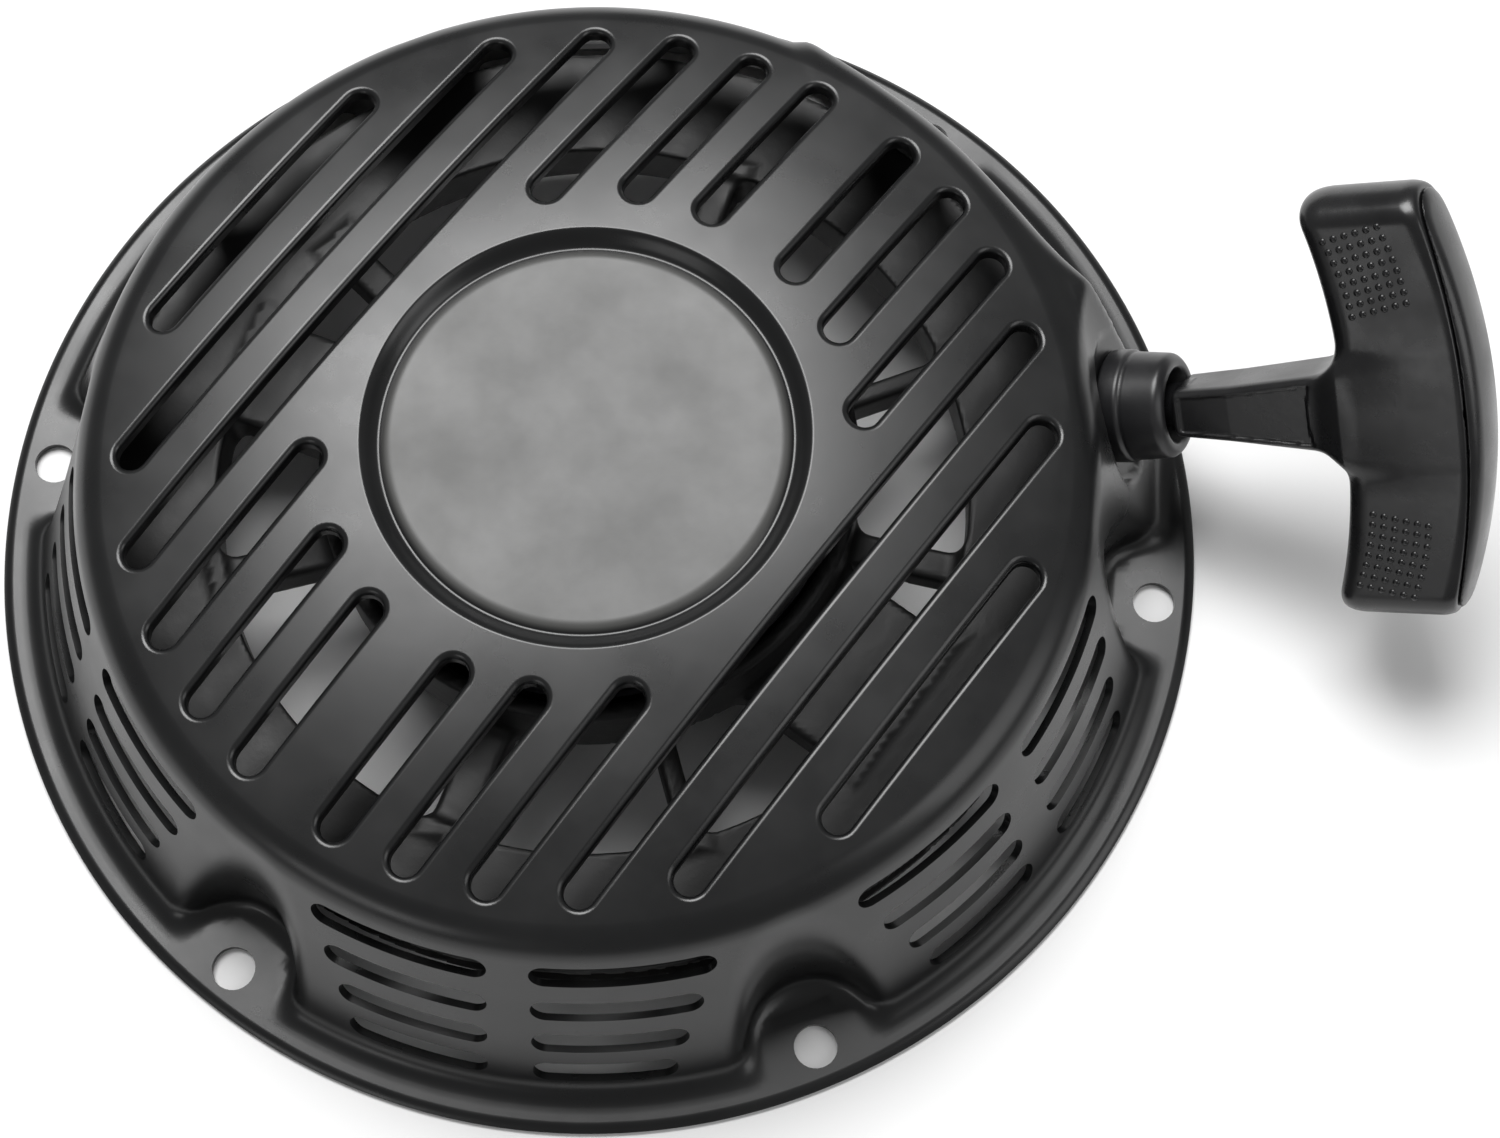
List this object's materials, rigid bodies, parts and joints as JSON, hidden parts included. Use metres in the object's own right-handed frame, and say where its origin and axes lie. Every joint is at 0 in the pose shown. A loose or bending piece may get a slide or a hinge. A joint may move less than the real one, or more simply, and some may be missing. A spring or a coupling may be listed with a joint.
{
  "type": "recoil starter",
  "caption": "Pull starter for a small engine: black pressed dome with parallel slots, flange with bolt pockets, T handle on a rope through a collar, rope reel and ratchet inside",
  "frame": {"origin": "centre of the mounting face, on the dome's axis", "axes": "+Z out of the dome's top along the reel axis; +X through the bolt hole beside the rope collar; +Y completes a right-handed frame"},
  "size_m": [0.2903, 0.236, 0.0885],
  "materials": {
    "shroud_paint": "gloss",
    "grip_plastic": "satin",
    "reel_plastic": "rough",
    "collar_plastic": "satin",
    "steel": "satin",
    "spring_steel": "oiled",
    "zinc_steel": "zinc plated",
    "rope_fibre": "braided"
  },
  "bodies": {
    "shroud": {"housing": "shroud_paint", "hub_plate": "shroud_paint", "centre_post": "steel", "thrust_washer": "zinc_steel", "set_screw": "zinc_steel", "rope_guide": "collar_plastic", "rope_lead": "rope_fibre"},
    "rope_reel": {"reel": "reel_plastic", "recoil_spring": "spring_steel", "rope_coil": "rope_fibre", "reel_knot": "rope_fibre"},
    "ratchet_plate": {"ratchet_guide": "steel", "friction_spring": "spring_steel"},
    "first_pawl": {"pawl_a": "steel", "pawl_spring_a": "spring_steel"},
    "second_pawl": {"pawl_b": "steel", "pawl_spring_b": "spring_steel"},
    "pull_handle": {"handle_grip": "grip_plastic", "handle_cap": "grip_plastic", "handle_washer": "zinc_steel", "handle_knot": "rope_fibre", "rope_run": "rope_fibre"}
  },
  "joints": [
    {"name": "reel_spin", "type": "hinge", "parent": "shroud", "child": "rope_reel", "pos_m": [0, 0, 0], "axis": [0, 0, 1], "range_deg": [-900, 0]},
    {"name": "handle_pull", "type": "slide", "parent": "shroud", "child": "pull_handle", "axis": [0.8804, -0.067, 0.4695], "range_m": [0, 1.32]},
    {"name": "ratchet_slip", "type": "hinge", "parent": "rope_reel", "child": "ratchet_plate", "pos_m": [0, 0, 0], "axis": [0, 0, 1], "range_deg": [0, 25]},
    {"name": "first_pawl_swing", "type": "hinge", "parent": "rope_reel", "child": "first_pawl", "pos_m": [0, 0.027, 0.021], "axis": [0, 0, 1], "range_deg": [0, 35.1]},
    {"name": "second_pawl_swing", "type": "hinge", "parent": "rope_reel", "child": "second_pawl", "pos_m": [0, -0.027, 0.021], "axis": [0, 0, 1], "range_deg": [0, 35.1]}
  ],
  "couplings": [
    {"joint": "handle_pull", "follows": "reel_spin", "m_per_rad": -0.084},
    {"joint": "first_pawl_swing", "follows": "ratchet_slip", "ratio": 1.4},
    {"joint": "second_pawl_swing", "follows": "ratchet_slip", "ratio": 1.4}
  ]
}
